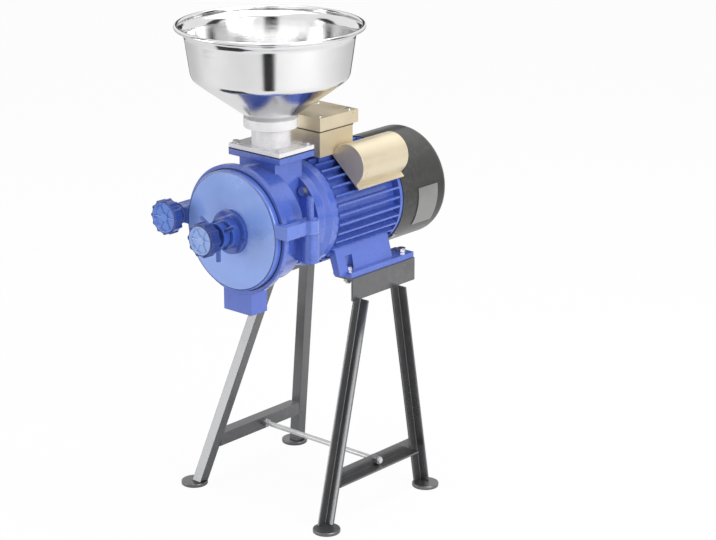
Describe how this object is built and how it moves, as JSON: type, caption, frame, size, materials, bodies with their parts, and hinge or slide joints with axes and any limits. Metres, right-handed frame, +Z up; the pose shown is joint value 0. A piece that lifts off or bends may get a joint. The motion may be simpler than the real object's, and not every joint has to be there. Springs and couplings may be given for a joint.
{
  "type": "electric grain mill",
  "caption": "Floor-standing electric disc mill: ribbed motor on an angle-iron stand drives grinding discs behind a hinged front cover, with a round feed hopper and a square discharge spout.",
  "frame": {"origin": "on the ground, in the middle of the bounding box's footprint", "axes": "+Z up; Y along the motor shaft, -Y towards the front cover and the adjusting wheel, +Y towards the fan cover; +X towards the cover's hinge"},
  "size_m": [0.322, 0.464, 0.7512],
  "materials": {
    "aluminium": "cast or drawn",
    "black_paint": "black enamel, worn in places",
    "black_plastic": "moulded",
    "blue_plastic": "moulded",
    "brass": "machined",
    "cast_iron": "chilled cast iron",
    "copper": "enamelled wire",
    "cream_paint": "cream enamel",
    "dark_sheet": "dark grey enamel on sheet steel",
    "galvanised": "zinc grey steel",
    "painted_blue": "blue stoving enamel",
    "rubber": "moulded",
    "stainless": "polished stainless sheet",
    "steel": "machined or plated steel",
    "white_cast": "white enamel"
  },
  "bodies": {
    "mill_body": {"top_angle_right": "black_paint", "top_angle_left": "black_paint", "front_leg_right": "black_paint", "front_leg_left": "black_paint", "rear_leg_right": "black_paint", "rear_leg_left": "black_paint", "crossbar_right": "black_paint", "crossbar_left": "black_paint", "foot_discs": "black_paint", "tie_rod": "galvanised", "tie_rod_nuts": "steel", "motor_frame": "painted_blue", "motor_foot_bolts": "steel", "motor_foot_nuts": "steel", "front_end_shield": "painted_blue", "rear_end_shield": "painted_blue", "bearing_outer_rings": "steel", "stator_core": "steel", "stator_windings": "copper", "fan_cover": "dark_sheet", "fan_cover_screws": "steel", "terminal_box": "cream_paint", "terminal_box_lid": "cream_paint", "terminal_lid_screws": "steel", "terminal_block": "black_plastic", "terminal_studs": "brass", "cable_gland": "black_plastic", "capacitor_cover_right": "cream_paint", "capacitor_cover_left": "cream_paint", "capacitor_right": "aluminium", "capacitor_left": "aluminium", "mill_housing": "painted_blue", "flange_bolts": "steel", "shaft_seal": "rubber", "hinge_pin": "painted_blue", "neck_gasket": "rubber", "feed_neck": "white_cast", "neck_bolts": "steel"},
    "rotor": {"motor_shaft": "steel", "rotor_core": "steel", "bearing_inner_rings": "steel", "bearing_balls": "steel", "cooling_fan": "black_plastic", "auger": "cast_iron", "disc_holder": "cast_iron", "rotating_grinding_disc": "cast_iron", "rotating_disc_screws": "steel", "disc_bolt": "steel"},
    "cover": {"front_cover": "painted_blue"},
    "fixed_disc": {"disc_carrier": "cast_iron", "fixed_grinding_disc": "cast_iron", "fixed_disc_screws": "steel"},
    "adjuster": {"adjusting_screw": "steel", "adjusting_wheel": "blue_plastic"},
    "lock": {"lock_ring": "painted_blue"},
    "clamp_slider": {"clamp_washer": "steel"},
    "clamp_screw": {"clamp_knob": "blue_plastic", "clamp_stud": "steel"},
    "feed_hopper": {"hopper": "stainless"}
  },
  "joints": [
    {"name": "rotor_spin", "type": "hinge", "parent": "mill_body", "child": "rotor", "pos_m": [0, 0, 0.455], "axis": [0, -1, 0], "continuous": true},
    {"name": "cover_open", "type": "hinge", "parent": "mill_body", "child": "cover", "pos_m": [0.108, -0.113, 0.455], "axis": [0, 0, 1], "range_deg": [0, 110]},
    {"name": "adjust_wheel_turn", "type": "hinge", "parent": "fixed_disc", "child": "adjuster", "pos_m": [0, -0.22, 0.455], "axis": [0, -1, 0], "range_deg": [0, 725]},
    {"name": "fixed_disc_slide", "type": "slide", "parent": "cover", "child": "fixed_disc", "axis": [0, -1, 0], "range_m": [0, 0.003]},
    {"name": "lock_ring_turn", "type": "hinge", "parent": "cover", "child": "lock", "pos_m": [0, -0.1945, 0.455], "axis": [0, -1, 0], "range_deg": [0, 90]},
    {"name": "clamp_slide", "type": "slide", "parent": "cover", "child": "clamp_slider", "axis": [0, -1, 0], "range_m": [0, 0.014]},
    {"name": "clamp_knob_turn", "type": "hinge", "parent": "clamp_slider", "child": "clamp_screw", "pos_m": [-0.11, -0.18, 0.461], "axis": [0, -1, 0], "range_deg": [0, 2890]},
    {"name": "hopper_lift", "type": "slide", "parent": "mill_body", "child": "feed_hopper", "axis": [0, 0, 1], "range_m": [0, 0.08]}
  ],
  "couplings": [
    {"joint": "adjust_wheel_turn", "follows": "fixed_disc_slide", "rad_per_m": 4188},
    {"joint": "clamp_knob_turn", "follows": "clamp_slide", "rad_per_m": 3590}
  ]
}
